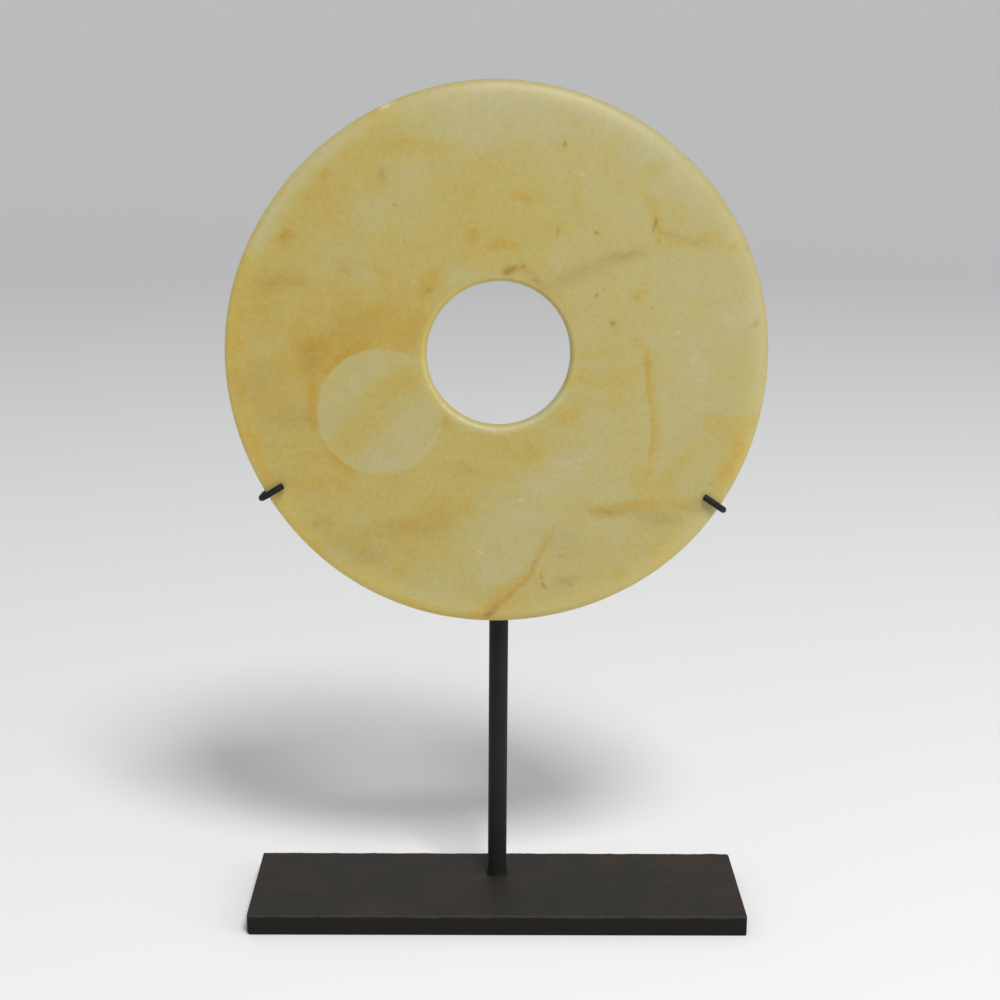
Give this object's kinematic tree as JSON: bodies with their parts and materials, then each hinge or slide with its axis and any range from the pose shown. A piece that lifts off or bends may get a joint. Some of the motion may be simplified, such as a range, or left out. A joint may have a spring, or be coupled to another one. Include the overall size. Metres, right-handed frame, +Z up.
{
  "type": "jade bi disc on stand",
  "caption": "Plain round jade bi disc with a round bore, leaning in two bent wire hooks on a round steel post and a flat rectangular base plate.",
  "frame": {"origin": "middle of the base plate's underside, on the surface that the stand rests on", "axes": "+Z up, -Y towards the front of the disc, +X to the right as seen from the front"},
  "size_m": [0.267, 0.077, 0.4197],
  "materials": {
    "jade": "satin",
    "blackened_steel": "matte"
  },
  "bodies": {
    "root": {"jade_disc": "jade", "base_plate": "blackened_steel", "post": "blackened_steel", "hook_arm_left": "blackened_steel", "hook_arm_right": "blackened_steel"}
  },
  "joints": []
}
